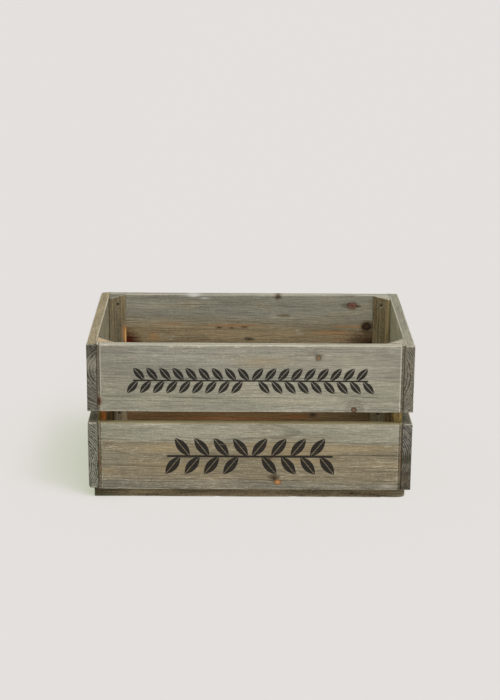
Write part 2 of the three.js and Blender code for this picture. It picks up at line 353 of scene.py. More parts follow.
# The front posts show through the slot between the front boards. Their orange and yellow bands are partly
# the posts' own colour and partly painted light from the slot; their moss and umber bands are partly the
# posts' own colour and partly painted shade.
FRONT_POST = Look(
    seed=9, edge=POST_BROWN, end=POST_TOP_TAN, pith=(30, 12),
    bands=((0.18, POST_MOSS), (0.24, POST_ORANGE), (0.44, POST_ORANGE), (0.54, POST_UMBER)),
    end_line=0.2, grain=2, bleach=0,
)
BACK_POST = Look(
    seed=11, edge=POST_BROWN, end=TOP_DARK, pith=(26, 30),
    bands=(
        (0.2, POST_TAN), (0.24, POST_DARK), (0.32, POST_GREY), (0.5, POST_GREY), (0.62, POST_DARK),
        (0.74, POST_TAN),
    ),
    line=0.35, end_line=0.3, grain=1.3, bleach=0, rub=0.25,
)
PLAIN_SLAT = Look(
    seed=13, edge=SLAT_BROWN, end=SLAT_GREEN, pith=(0, 40),
    bands=((0, SLAT_BROWN), (1, SLAT_BROWN)),
    bleach=0,
)

LOOKS = {
    "front_upper_board": Look(
        seed=1, edge=TOP_GREY, end=GREY_CHAMFER, pith=(-14, 42),
        bands=((0, GREY_WASH), (0.2, PALE_WASH), (0.55, GREY_WASH)),
        ring=1.7, line=0.2, end_line=0.3, grain=0.64, bleach=0.3, rub=0.7, warmth=0.15, slope=0.004,
        cracks=(137.5, 115.5),
        marks=FRONT_UPPER_MARKS,
        leaves=LeafRow(
            height=134.5, half_length=126, pitch=14, leaf_length=19, leaf_width=8, lean=50, stem=1.8,
        ),
    ),
    "front_lower_board": Look(
        seed=2, edge=YELLOW_EDGE, end=BROWN_CHAMFER, pith=(30, 48),
        bands=((0, DARK_WASH), (0.1, DULL_WASH), (0.16, WARM_WASH), (0.69, WARM_WASH), (0.73, PALE_WASH)),
        ring=2, line=0.24, end_line=0.3, grain=0.74, bleach=0.35, warmth=0.22, slope=-0.009,
        cracks=(65.6, 50.6, 35.9, 21.4, 17.6),
        marks=FRONT_LOWER_MARKS,
        leaves=LeafRow(
            height=48.5, half_length=90, pitch=21, leaf_length=26.5, leaf_width=11.2, lean=52, stem=2.4,
        ),
    ),
    "back_upper_board": Look(
        seed=3, edge=GREY_WASH, end=GREY_END, pith=(10, 40),
        # Upper bands of the inner face: partly the wood's own colour, partly painted light
        bands=(
            (0, ORANGE_BROWN), (0.26, SHADED_BROWN), (0.42, SHADED_BROWN), (0.54, SHADED_WARM),
            (0.66, SHADED_GREY),
        ),
        back_bands=((0, PALE_WASH), (0.45, GREY_WASH), (0.6, WARM_WASH), (1, GREY_WASH)),
        grain=0.95, fine=0.7, rub=0.45, slope=-0.012,
        cracks=(139.5,),
        marks=BACK_UPPER_MARKS,
    ),
    "back_lower_board": Look(
        seed=4, edge=YELLOW_EDGE, end=PURPLE_END, pith=(-24, -44),
        bands=((0, ORANGE_BROWN), (1, ORANGE_BROWN)),
        back_bands=(
            (0, DULL_WASH), (0.3, WARM_WASH), (0.6, WARM_WASH), (0.7, GREY_WASH), (1, PALE_WASH),
        ),
        line=0.25, bleach=0, warmth=0.3,
        marks=(
            Mark(-78, 54, 14, 10, BROWN_KNOT, True),
            Mark(77, 25, 7, 4.6, SMUDGE, True),
            *marks_of(RED_STREAK, (58, 22.8, 22, 2.2), (-30, 20.6, 95, 2)),
            Mark(125, 23, 50, 12, TAN_STAIN),
        ),
    ),
    "left_upper_board": Look(
        seed=5, edge=TOP_TAN, end=GREY_END, pith=(9, 17),
        bands=((0, GREY_WASH), (0.5, OLIVE_WASH)),
        ring=3.3, end_line=1.2, rub=0.5,
        marks=(
            Mark(34, 130, 13, 10, TAN_KNOT, True),
            Mark(-110, 170, 4, 11, DARK_END),
            Mark(-110, 152, 4, 9, PALE_PATCH),
            Mark(-110, 116, 4, 30, SMOOTH_END),
        ),
    ),
    "left_lower_board": Look(
        seed=6, edge=TOP_DARK, end=GREEN_END, pith=(-10.5, -32),
        bands=((0, DULL_WASH), (0.5, WARM_WASH), (1, GREY_WASH)),
        ring=2.1, end_line=1.5, warmth=0.45,
        marks=(Mark(-46, 42, 15, 11, BROWN_KNOT, True),),
    ),
    # Its washes are partly the wood's own colour and partly painted light on the inner face, which the lamp
    # does not reach
    "right_upper_board": Look(
        seed=7, edge=TOP_DULL, end=MOTTLED_END, pith=(4, -44),
        bands=((0, PALE_WASH), (0.5, LIGHT_OLIVE)),
        ring=2.4, end_line=0.8, rub=0.65,
        marks=(Mark(-38, 152, 12, 9, BROWN_KNOT, True),),
    ),
    "right_lower_board": Look(
        seed=8, edge=TOP_DARK, end=PURPLE_END, pith=(0, -30),
        bands=((0, WARM_WASH), (0.4, DULL_WASH), (1, GREY_WASH)),
        end_line=2.1, warmth=0.45,
        marks=(
            Mark(52, 60, 14, 10, TAN_KNOT, True),
            Mark(-110, 20, 4, 24, DINGY_STAIN),
            Mark(-110, 46, 4, 9, DAMP_STAIN),
            *marks_of(DARK_END, (-110, 29, 4, 3.5), (-110, 13, 4, 4)),
        ),
    ),
    "front_left_post": FRONT_POST,
    # Its yellow band is partly painted light from the slot, its umber and moss bands partly painted shade
    "front_right_post": replace(
        FRONT_POST, seed=10, end=TOP_GREY, pith=(-28, 16),
        bands=((0.3, POST_UMBER), (0.36, POST_MOSS), (0.48, POST_MOSS), (0.58, POST_YELLOW)),
    ),
    # The back left post has an orange haze and a painted highlight along its inner arris
    "back_left_post": replace(
        BACK_POST,
        marks=(Mark(128, -149, 12, 3.6, ORANGE_HAZE), Mark(122.5, -146.6, 17, 1.8, PAINTED_EDGE_HIGHLIGHT)),
    ),
    "back_right_post": replace(
        BACK_POST, seed=12, end=TOP_GREY, pith=(-30, 24),
        bands=(
            (0, POST_OCHRE), (0.3, POST_BROWN), (0.66, POST_BROWN), (0.7, POST_OCHRE), (0.82, POST_OCHRE),
            (0.88, POST_BROWN),
        ),
        marks=(Mark(26, 156, 16, 16, PALE_PATCH),),
    ),
    "front_base_slat": replace(
        PLAIN_SLAT, grain=1.8,
        marks=(Mark(-168, -104, 40, 12, DAMP_STAIN), Mark(168, -104, 26, 12, DRY_END)),
    ),
    "middle_base_slat": replace(PLAIN_SLAT, seed=14, pith=(12, -40)),
    "back_base_slat": replace(PLAIN_SLAT, seed=15, pith=(-10, 44)),
}


class Block:
    """A piece of wood in grain order: along the grain, across it and through it, in millimetres."""

    def __init__(self, node, axes):
        low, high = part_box(node)
        self.node = node
        self.axes = list(axes)
        self.low = np.array([low[axis] for axis in axes]) / MM
        self.high = np.array([high[axis] for axis in axes]) / MM
        self.middle = (self.low + self.high) / 2
        self.size = self.high - self.low
        self.cuts = []
        self.joints = []
        self.soft_corners = []

    def corner(self, along, across, through):
        """A corner of the block, or the middle of a side, by the signs of the three directions."""
        return self.middle + np.array([along, across, through]) * self.size / 2

    def planes(self):
        """The flat faces of the block as (outward normal, offset)."""
        faces = []
        for outward, high, low in zip(np.eye(3), self.high, self.low):
            faces += [(outward, high), (-outward, -low)]
        return faces + self.cuts

    def chamfer_ends(self, outer):
        """Cuts the chamfers at the two ends of a front board, on its outer side."""
        for end in (-1, 1):
            normal = np.array([end * CHAMFER_DEPTH, 0, outer * CHAMFER_LENGTH])
            normal /= np.linalg.norm(normal)
            start = self.corner(end, 0, outer)
            start[0] -= end * CHAMFER_LENGTH
            self.cuts.append((normal, normal @ start))

    def slant(self, across, through):
        """Cuts a post's slanted face, which looks towards the middle of the crate."""
        normal = np.array([0, across, through]) / math.sqrt(2)
        tip = self.corner(0, across, -through)
        tip[2] += through * POST_TIP
        self.cuts.append((normal, normal @ tip))

    def join_side(self, axis, side, along=(-1, 1)):
        """Marks a side, or a stretch of it, that meets a neighbour and keeps its sharp arrises."""
        low = self.corner(along[0], -1, -1)
        high = self.corner(along[1], 1, 1)
        low[axis] = high[axis] = self.corner(side, side, side)[axis]
        self.joints.append((low, high))

    def soften(self, corner, extra, reach):
        """Wears one corner by an extra radius, fading out at a distance."""
        self.soft_corners.append((self.corner(*corner), extra, reach))


def cell_value(cell, seed):
    """A repeatable number from 0 to 1 for each row of whole numbers."""
    keys = np.array([73856093, 19349663, 83492791])
    mixed = np.bitwise_xor.reduce(cell * keys, axis=1) ^ (seed * 15485863)
    mixed = ((mixed ^ (mixed >> 15)) * 40503 + 12345) & 0xFFFFFF
    mixed = ((mixed ^ (mixed >> 11)) * 60493 + 54321) & 0xFFFFFF
    return (mixed ^ (mixed >> 9)) / 0xFFFFFF


def noise(points, seed):
    """Smooth noise from 0 to 1 at each row of points, which changes over about one unit."""
    cell = np.floor(points).astype(np.int64)
    share = points - cell
    share = share * share * (3 - 2 * share)
    total = np.zeros(len(points))
    for corner in np.ndindex(2, 2, 2):
        weight = np.where(np.array(corner) == 1, share, 1 - share).prod(axis=1)
        total += weight * cell_value(cell + np.array(corner), seed)
    return total


def ease(values, start, end):
    """0 up to start, 1 from end, and smooth between them."""
    share = np.clip((values - start) / (end - start), 0, 1)
    return share * share * (3 - 2 * share)


def stations(low, high, step, extra):
    """Places along one side of a block: close together near its ends and at each extra place."""
    half = (high - low) / 2
    near_ends = [offset for offset in EDGE_STATIONS if offset < half]
    count = max(2, round((high - low) / step))
    places = list(np.linspace(low, high, count + 1))
    places += [low + offset for offset in near_ends]
    places += [high - offset for offset in near_ends]
    for middle in extra:
        places += [middle + offset for offset in BRAD_STATIONS]
    kept = [low]
    for place in sorted(places):
        if place - kept[-1] > CLOSEST_STATIONS and high - place > CLOSEST_STATIONS:
            kept.append(place)
    return np.array(kept + [high])


def lattice(places):
    """Points on the surface of a block with these stations, and its quads for each side."""
    counts = [len(row) for row in places]
    steps = np.indices(counts)
    on_surface = np.zeros(counts, bool)
    for axis in range(3):
        on_surface |= (steps[axis] == 0) | (steps[axis] == counts[axis] - 1)
    number = np.full(counts, -1)
    number[on_surface] = np.arange(on_surface.sum())
    points = np.stack(np.meshgrid(*places, indexing="ij"), axis=-1)[on_surface]
    sides = {}
    for axis in range(3):
        for end in (0, -1):
            sheet = np.moveaxis(number, axis, 0)[end]
            quads = np.stack([sheet[:-1, :-1], sheet[1:, :-1], sheet[1:, 1:], sheet[:-1, 1:]], axis=-1)
            quads = quads.reshape(-1, 4)
            faces_out = (end == -1) != (axis == 1)
            sides[axis, end] = quads if faces_out else quads[:, ::-1]
    return points, sides


def gather_slant(points, block):
    """Draws a square post's points in towards its right-angled edge, so that they fill its section."""
    normal, _ = block.cuts[0]
    inward = np.sign(normal[1:])
    corner = np.where(inward > 0, block.low[1:], block.high[1:])
    leg = block.size[1]
    offset = (points[:, 1:] - corner) * inward
    square = offset.max(axis=1)
    reach = np.minimum(leg, (leg + POST_TIP) * square / np.maximum(offset.sum(axis=1), 1e-9))
    drawn = points.copy()
    drawn[:, 1:] = corner + inward * offset * (reach / leg)[:, None]
    return drawn


def height_above(points, planes, blend):
    """Height of points above a block's rounded surface, and the slope of that height."""
    height = np.full(len(points), -np.inf)
    slope = np.zeros_like(points)
    for normal, offset in planes:
        level = points @ normal - offset
        overlap = np.clip(1 - np.abs(level - height) / blend, 0, None)
        share = np.where(level > height, 1 - overlap / 2, overlap / 2)
        slope += share[:, None] * (normal - slope)
        height = np.maximum(height, level) + overlap * overlap * blend / 4
    return height, slope


def rounded(points, planes, radius, relief):
    """Points moved onto the block's surface, with its arrises rounded and the relief taken off."""
    blend = RADIUS_TO_BLEND * radius
    for _ in range(FITTING_PASSES):
        height, slope = height_above(points, planes, blend)
        step = (height + relief) / (slope * slope).sum(axis=1)
        points = points - step[:, None] * slope
    return points


def joint_share(points, block):
    """1 where the block meets a neighbour, falling to 0 a little way off."""
    share = np.zeros(len(points))
    for low, high in block.joints:
        outside = np.maximum(np.maximum(low - points, points - high), 0)
        distance = np.linalg.norm(outside, axis=1)
        share = np.maximum(share, 1 - ease(distance, *JOINT_REACH))
    return share


def arris_share(points, planes, radius):
    """1 on a round arris, falling to 0 at the reach of its rubbing. A sawn end's sides stay unrubbed."""
    normals = np.array([normal for normal, _ in planes])
    levels = points @ normals.T - np.array([offset for _, offset in planes])
    rows = np.arange(len(points))
    second, first = np.argsort(levels, axis=1)[:, -2:].T
    drop = levels[rows, first] - levels[rows, second]
    cosine = (normals[first] * normals[second]).sum(axis=1)
    sine = np.sqrt(np.maximum(1 - cosine * cosine, 1e-6))  # above 0 for opposite faces too
    round_part = radius * (1 - cosine) / sine
    rubbed = np.clip(1 - (drop / sine - round_part) / ARRIS_REACH, 0, 1)
    facing = np.abs(normals[first]) + np.abs(normals[second])
    sawn_side = (facing[:, 0] == 1) & (facing[:, 2] == 1)
    return np.where(sawn_side, 0, rubbed)


def arris_radius(points, block, seed):
    """Radius of the rubbed arrises: more where hands and tools have worn them."""
    rub = noise(points / RUB_PATCH, seed)
    nick = ease(noise(points / NICK_PATCH, seed + 40), 0.78, 0.95)
    radius = ARRIS_RADIUS + ARRIS_RUB * rub * rub + NICK_RADIUS * nick
    radius += (JOINT_RADIUS - radius) * joint_share(points, block)
    for corner, extra, reach in block.soft_corners:
        distance = np.linalg.norm(points - corner, axis=1)
        radius += extra * (1 - ease(distance, 0.3 * reach, reach))
    return radius


def face_relief(points, block, seed):
    """Wood missing from the faces: slow unevenness, and a rougher cut at the ends."""
    slow = noise(points / SLOW_PATCH, seed + 80)
    close = noise(points / CLOSE_PATCH, seed + 120)
    from_end = block.size[0] / 2 - np.abs(points[:, 0] - block.middle[0])
    sawn = 1 - ease(from_end, 0.1, 0.6)
    cut = noise(points / SAWN_PATCH, seed + 160)
    relief = UNEVENNESS * (0.8 * slow + 0.2 * close) + SAWN_END_UNEVENNESS * sawn * cut
    return relief * (1 - 0.85 * joint_share(points, block))


def brad_ends(name):
    """The middle of a brad's head and the way that it was driven, in crate millimetres."""
    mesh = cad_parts[name].data
    places = np.array([vertex.co for vertex in mesh.vertices]) / MM
    low, high = places.min(axis=0), places.max(axis=0)
    axis = int(np.argmax(high - low))
    wide = np.ptp(np.delete(places, axis, axis=1)[places[:, axis] > high[axis] - 0.01], axis=0).max()
    drive = np.zeros(3)
    drive[axis] = -1 if wide > BRAD_HEAD_RADIUS else 1
    head = (low + high) / 2 - drive * (high - low) / 2
    return head, drive


def brads_into(block):
    """Head and drive direction, in the block's order, of each brad whose head sits in the block."""
    found = []
    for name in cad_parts:
        if "_brad_" in name:
            head, drive = brad_ends(name)
            place = head[block.axes]
            if (place > block.low).all() and (place < block.high).all():
                found.append((place, drive[block.axes]))
    return found


def sink_brads(points, brads):
    """Dimples the surface over each brad's head, and gives each point's share of stain and painted shade."""
    brad_stain_and_shade = np.zeros(len(points))
    for head, drive in brads:
        offset = points - head
        depth = offset @ drive
        distance = np.linalg.norm(offset - depth[:, None] * drive, axis=1)
        share = 1 - ease(distance, DIMPLE_INNER, DIMPLE_OUTER)
        sink = np.clip(DIMPLE_FLOOR - depth, 0, None) * share
        points = points + sink[:, None] * drive
        near_mouth = np.abs(depth) < 4
        brad_stain_and_shade = np.maximum(brad_stain_and_shade, near_mouth * (1 - ease(distance, BRAD_HEAD_RADIUS, STAIN_AND_SHADE_REACH)))
    return points, brad_stain_and_shade


def atlas(points, block, sides):
    """Flat map of the six sides, one above the other, for every corner of every quad."""
    margin = 2
    flat = points - block.low
    corners = []
    floor = margin
    for (axis, _), quads in sides.items():
        first, second = [other for other in range(3) if other != axis]
        corners.append(flat[quads.ravel()][:, [first, second]] + [margin, floor])
        floor += block.size[second] + margin
    width = block.size.max() + 2 * margin
    return np.concatenate(corners) / [width, floor]


def add_values(mesh, name, values):
    attribute = mesh.attributes.new(name, "FLOAT", "POINT")
    attribute.data.foreach_set("value", values.astype(np.float32))


def worn_mesh(block, seed):
    """The block's mesh, worn and dimpled, with its wear, its brad stain and painted shade, and a flat map.
    """
    brads = brads_into(block)
    places = []
    for axis, step in enumerate((ALONG_STEP, ACROSS_STEP, ACROSS_STEP)):
        extra = [head[axis] for head, drive in brads if not drive[axis]]
        places.append(stations(block.low[axis], block.high[axis], step, extra))
    rest, sides = lattice(places)
    start = gather_slant(rest, block) if block.node.endswith("post") else rest
    planes = block.planes()
    radius = arris_radius(start, block, seed)
    points = rounded(start, planes, radius, face_relief(start, block, seed))
    arris = arris_share(points, planes, radius) * (1 - joint_share(points, block))
    points, brad_stain_and_shade = sink_brads(points, brads)
    placed = np.zeros_like(points)
    placed[:, block.axes] = points * MM
    quads = np.concatenate(list(sides.values()))
    flat = atlas(rest, block, sides).reshape(-1, 4, 2)
    mirrored = np.linalg.det(np.eye(3)[block.axes]) < 0
    if mirrored:
        quads = quads[:, ::-1]
        flat = flat[:, ::-1]
    mesh = bpy.data.meshes.new("worn_" + block.node)
    mesh.from_pydata(placed.tolist(), [], quads.tolist())
    mesh.polygons.foreach_set("use_smooth", np.ones(len(quads), bool))
    mesh.uv_layers.new(name="OFBake").data.foreach_set("uv", flat.astype(np.float32).ravel())
    add_values(mesh, "arris", arris)
    add_values(mesh, "stain", brad_stain_and_shade)
    mesh.update()
    return mesh


def operator(operation, swapped=False):
    """A method of Field that writes one Math node."""

    def method(self, *others):
        values = (*others, self) if swapped else (self, *others)
        return self.graph.math(operation, *values)

    return method


class Field:
    """A shader value that arithmetic can be written with."""

    def __init__(self, graph, socket):
        self.graph = graph
        self.socket = socket

    __add__ = __radd__ = operator("ADD")
    __sub__ = operator("SUBTRACT")
    __rsub__ = operator("SUBTRACT", swapped=True)
    __mul__ = __rmul__ = operator("MULTIPLY")
    __truediv__ = operator("DIVIDE")
    __abs__ = operator("ABSOLUTE")


class Graph:
    """Writes the shader nodes of one material, or those of the world."""

    def __init__(self, owner):
        owner.use_nodes = True
        self.owner = owner
        self.tree = owner.node_tree
        self.shader = self.tree.nodes.get("Principled BSDF") or self.tree.nodes["Background"]

    def feed(self, node, values):
        """Sets or links a node's inputs, by their number or name."""
        for key, value in values.items():
            if isinstance(value, Field):
                self.tree.links.new(value.socket, node.inputs[key])
            else:
                node.inputs[key].default_value = value

    def node(self, kind, inputs, **settings):
        """A node with these settings, its inputs fed in order or by name."""
        made = self.tree.nodes.new("ShaderNode" + kind)
        for name, value in settings.items():
            setattr(made, name, value)
        self.feed(made, inputs if isinstance(inputs, dict) else dict(enumerate(inputs)))
        return made

    def result(self, kind, inputs=(), output=0, **settings):
        """An output of a new node."""
        return Field(self, self.node(kind, inputs, **settings).outputs[output])

    def math(self, operation, *values):
        return self.result("Math", values, operation=operation)

    def noise(self, place, detail=0, roughness=0.5):
        """Smooth noise at a place, which is a vector or its three parts."""
        if not isinstance(place, Field):
            place = self.result("CombineXYZ", place)
        inputs = {"Vector": place, "Scale": 1, "Detail": detail, "Roughness": roughness}
        return self.result("TexNoise", inputs, noise_dimensions="3D")

    def ease(self, value, start, end):
        return self.result("MapRange", (value, start, end), interpolation_type="SMOOTHSTEP")

    def mix(self, share, first, second):
        """One colour turning into another. Sockets 6, 7 and 2 are those for colours."""
        return self.result("Mix", {0: share, 6: first, 7: second}, output=2, data_type="RGBA")

    def scale(self, value, factor):
        return self.result("VectorMath", {0: value, "Scale": factor}, operation="SCALE")

    def ramp(self, value, stops):
        """A colour ramp and its alpha. Each stop is (place, colour) or (place, colour, strength)."""
        made = self.node("ValToRGB", (value,))
        elements = made.color_ramp.elements
        while len(elements) < len(stops):
            elements.new(1.0)
        for element, (place, shade, *strength) in zip(elements, stops):
            element.position = place
            element.color = (*shade[:3], *(strength or [1.0]))
        return [Field(self, output) for output in made.outputs]

    def seen(self):
        """1 for rays that the camera sees straight, mirrored or through glass, and 0 for light."""
        path = self.node("LightPath", ())
        rays = [Field(self, path.outputs[f"Is {kind} Ray"]) for kind in ("Camera", "Glossy", "Transmission")]
        return self.math("MAXIMUM", self.math("MAXIMUM", rays[0], rays[1]), rays[2])

    def attribute(self, name):
        return self.result("Attribute", attribute_name=name, output="Fac")

    def parts(self, kind, output, axes):
        """The three parts of a node's vector output, in the order of the axes."""
        split = self.node("SeparateXYZ", (self.result(kind, output=output),))
        return [Field(self, split.outputs[axis]) for axis in axes]

    def bump(self, height, distance):
        """Normal of a surface raised by the height, times the distance."""
        return self.result("Bump", {"Distance": distance, "Height": height})


@dataclass
class Grain:
    """Fields that the parts of one wood material share, with places in crate millimetres."""

    along: Field
    across: Field
    bent: Field  # place across the grain, as the fibres follow it
    late: Field  # growth rings on the faces
    end_rings: Field
    cracks: Field
    hairs: Field  # sparse thin dark lines
    fine: Field  # noises, from the finest streaks to the broadest
    fibre: Field
    streak: Field
    patch: Field
    speck: Field


def mark_distance(graph, mark, along, across):
    """Distance from a mark's middle, as a share of its length and width."""
    sideways = (along - mark.along) / mark.length
    upwards = (across - mark.across) / mark.width
    return graph.math("SQRT", sideways * sideways + upwards * upwards)


def bent_grain(graph, look, along, across, drift):
    """Place across the grain as the fibres follow it: sloping, drifting and passing round knots."""
    bent = across - look.slope * along + drift
    for mark in look.marks:
        if mark.bends_grain:
            distance = mark_distance(graph, mark, along, across)
            push = graph.math("EXPONENT", distance * distance * -1.4)
            bent = bent - 0.6 * (across - mark.across) * push
    return bent


def ring_count(graph, look, block, bent, through):
    """Distance from the pith, counted in growth rings."""
    sideways = bent - (block.middle[1] + look.pith[0])
    inwards = through - (block.middle[2] + look.pith[1])
    return graph.math("SQRT", sideways * sideways + inwards * inwards) / look.ring


def growth_rings(graph, look, rings, along):
    """Darkness of the late wood on the faces: thin lines, many of them faint."""
    wander = graph.noise((along / 170, rings / 1.7, look.seed * 11))
    turn = graph.math("FRACT", rings + 2.4 * wander)
    depth = graph.noise((along / 200, rings / 1.3, look.seed * 7))
    line = graph.ease(turn, 0.6, 0.88) * (1 - graph.ease(turn, 0.9, 1))
    return line * graph.ease(depth, 0.36, 0.66)


def sawn_rings(graph, look, rings, across, through, speck):
    """Darkness of the late wood on the sawn ends: rings with ragged sides, each lost in places."""
    wander = graph.noise((rings / 3, look.seed * 5, 0))
    swerve = graph.noise((across / 12, through / 5, look.seed * 9), 1)
    turn = graph.math("FRACT", rings + 1.6 * wander + 0.7 * swerve + 0.8 * (speck - 0.5))
    depth = graph.noise((rings / 1.2, look.seed * 3, 0))
    lost = graph.noise((across / 9, through / 4, look.seed * 13), 1)
    line = graph.ease(turn, 0.3, 0.75) * (1 - graph.ease(turn, 0.82, 1))
    return line * (0.5 + graph.ease(depth, 0.3, 0.7)) * (0.4 + 0.6 * graph.ease(lost, 0.35, 0.55))


def crack_lines(graph, look, bent, along):
    """Darkness of the long thin grain lines, which fade in and out along the board."""
    total = 0
    for height in look.cracks:
        shown = graph.ease(graph.noise((along / 40, height, 0)), 0.36, 0.62)
        total = total + (1 - graph.ease(abs(bent - height), 0.1, 0.65)) * shown
    return total


def grain_fields(graph, block, look):
    along, across, through = [part / MM for part in graph.parts("TexCoord", "Object", block.axes)]
    shift = look.seed * 37

    def streaks(length, width, detail=0, roughness=0.5):
        return graph.noise((along / length + shift, bent / width, through / width), detail, roughness)

    def wander(length, width, reach):
        return reach * (graph.noise((along / length + shift, across / width, through / width), 1) - 0.5)

    bent = bent_grain(graph, look, along, across, wander(150, 34, 5) + wander(52, 11, 1.8))
    rings = ring_count(graph, look, block, bent, through)
    speck = graph.noise((along / 2 + shift, across / 1.2, through / 1.2), 1)
    return Grain(
        along, across, bent,
        late=growth_rings(graph, look, rings, along),
        end_rings=sawn_rings(graph, look, rings, across, through, speck),
        cracks=crack_lines(graph, look, bent, along),
        hairs=graph.ease(streaks(40, 1, 1), 0.57, 0.67),
        fine=streaks(12, 1.1, 1),
        fibre=streaks(56, 2.6, 2, 0.6),
        streak=streaks(150, 15, 1),
        patch=streaks(54, 13, 2),
        speck=speck,
    )


def face_paint(graph, block, look, grain, facing_edge, facing_out):
    """The washed faces and edges: bands of colour, tan patches, streaks and growth rings."""
    height = (grain.bent - block.low[1]) / block.size[1]
    wash, _ = graph.ramp(height, look.bands)
    if look.back_bands:
        back_wash, _ = graph.ramp(height, look.back_bands)
        wash = graph.mix(graph.ease(facing_out, 0.3, 0.7), wash, back_wash)
    wash = graph.mix(graph.ease(grain.patch, 0.5, 0.75) * look.warmth, wash, TAN_WOOD)
    wash = graph.mix(graph.ease(abs(facing_edge), 0.55, 0.9), wash, look.edge)
    flecks = grain.fine + 0.6 * (grain.speck - 0.5) + 0.3 * (grain.patch - 0.5)
    wash = graph.mix(graph.ease(flecks, 0.58, 0.74) * look.bleach, wash, BLEACHED_WOOD)
    small = 0.5 * (grain.fine - 0.5) + 0.8 * (grain.speck - 0.5) - 0.25 * grain.hairs
    middle = 0.5 * (grain.fibre - 0.5)
    large = 0.5 * (grain.patch - 0.5) + 0.9 * (grain.streak - 0.5)
    tone = 1 + look.grain * (look.fine * (small + middle) + large)
    tone = tone * (1 - look.line * grain.late) * (1 - 0.35 * grain.cracks)
    return graph.scale(wash, tone)


def end_paint(graph, look, grain):
    """Sawn ends and chamfers: dark growth rings on rough wood."""
    rings = graph.math("MAXIMUM", 1 + look.end_line * (0.45 - 1.15 * grain.end_rings), 0.2)
    rough = (0.2 + 1.6 * grain.speck) * (0.4 + 1.2 * grain.fibre)
    return graph.scale(look.end[:3], rings * rough)


def with_marks(graph, look, grain, facing_out, paint):
    """Paint with the knots, which go through the wood, and the other marks, which keep to one face."""
    uneven = 0.45 * (grain.fibre - 0.5) + 0.5 * (grain.speck - 0.5)
    for mark in look.marks:
        wobble = 0.7 if mark.bends_grain else 1
        distance = mark_distance(graph, mark, grain.along, grain.across) + wobble * uneven
        shade, strength = graph.ramp(distance, mark.fade)
        shade = graph.scale(shade, 0.7 + 0.6 * grain.fine)
        if look.back_bands and not mark.bends_grain:
            strength = strength * (1 - graph.ease(facing_out, 0.3, 0.7))
        paint = graph.mix(strength, paint, shade)
    return paint


def with_wear(graph, look, grain, paint):
    """Light rubbed arrises, and dark wood round the brads: their stain, with painted shade in the dimples.
    """
    rubbed = graph.attribute("arris") * graph.ease(grain.fibre + 0.4 * (grain.speck - 0.5), 0.25, 0.6)
    paint = graph.mix(rubbed * look.rub, paint, RUBBED_WOOD)
    return graph.mix(graph.attribute("stain") * 0.4, paint, STAIN_AND_SHADE_AT_BRADS)


def leaf(graph, row, along, across):
    """Ink of one leaf that leans away from its stem, with an open line along its middle."""
    lean = math.radians(row.lean)
    length = (along * math.cos(lean) + across * math.sin(lean)) / row.leaf_length
    side = abs(across * math.cos(lean) - along * math.sin(lean))
    half_width = 2 * row.leaf_width * length * (1 - length)
    vein = graph.ease(side, 0.12, 0.4)
    return graph.ease(half_width - side, -INK_BLUR, INK_BLUR) * vein


def leaf_print(graph, row, grain):
    """Ink of the stencilled row: a stem with leaves on both sides by turns, mirrored at its middle."""
    outward = abs(grain.along)
    height = grain.across - row.height
    beyond = graph.ease(outward, row.half_length - INK_BLUR, row.half_length + INK_BLUR)
    beside = graph.ease(abs(height), row.stem / 2 - INK_BLUR, row.stem / 2 + INK_BLUR)
    ink = (1 - beside) * (1 - beyond)
    last = row.half_length / row.pitch - 1
    for side, shift in ((1, 0), (-1, 0.5)):
        place = outward / row.pitch - shift
        turn = graph.math("FRACT", place)
        first_to_last = graph.ease(place, -0.01, 0) * (1 - graph.ease(place - turn, last, last + 0.01))
        one = leaf(graph, row, (turn - 0.1) * row.pitch, side * height)
        ink = graph.math("MAXIMUM", ink, one * first_to_last)
    return ink


def with_print(graph, look, grain, facing_out, paint):
    """Paint with the stencilled leaves on the front, worn thin along the fibres."""
    front = graph.ease(facing_out * -1, 0.6, 0.8)
    cover = graph.ease(grain.fibre + 0.5 * (grain.fine - 0.5), 0.14, 0.28)
    ink = leaf_print(graph, look.leaves, grain) * front * cover
    return graph.mix(ink * 0.96, paint, INK)


def wood_material(block, look):
    """Wood of one piece, from its rings, fibres, wash, marks and wear."""
    graph = Graph(bpy.data.materials.new(block.node + "_wood"))
    facing_end, facing_edge, facing_out = graph.parts("NewGeometry", "True Normal", block.axes)
    grain = grain_fields(graph, block, look)
    paint = face_paint(graph, block, look, grain, facing_edge, facing_out)
    paint = graph.mix(graph.ease(abs(facing_end), 0.22, 0.36), paint, end_paint(graph, look, grain))
    paint = with_wear(graph, look, grain, paint)
    paint = with_marks(graph, look, grain, facing_out, paint)
    if look.leaves:
        paint = with_print(graph, look, grain, facing_out, paint)
    ridges = grain.fine * 0.7 + grain.fibre * 0.6 + grain.late * 0.3 + grain.speck * 0.4
    graph.feed(graph.shader, {
        "Base Color": paint,
        "Roughness": 0.74 + 0.3 * (grain.fibre - 0.5) + 0.1 * grain.late,
        "Specular IOR Level": 0.12,
        "Normal": graph.bump(ridges - 0.9 * grain.cracks - 0.4 * grain.hairs, 0.6 * look.fine * MM),
    })
    return graph.owner


def brad_material():
    """Dull darkened steel with rust in patches."""
    graph = Graph(bpy.data.materials.new("dull_brad_steel"))
    place = graph.result("TexCoord", output="Object")
    rust = graph.noise(graph.scale(place, 900), 3, 0.6)
    pits = graph.noise(graph.scale(place, 3500), 2)
    rusty = graph.ease(rust, 0.42, 0.62)
    graph.feed(graph.shader, {
        "Base Color": graph.mix(rusty, DULL_STEEL, RUSTY_STEEL),
        "Metallic": 0.7 - 0.5 * rusty,
        "Roughness": 0.42 + 0.4 * rust,
        "Normal": graph.bump(pits, 0.05 * MM),
    })
    return graph.owner


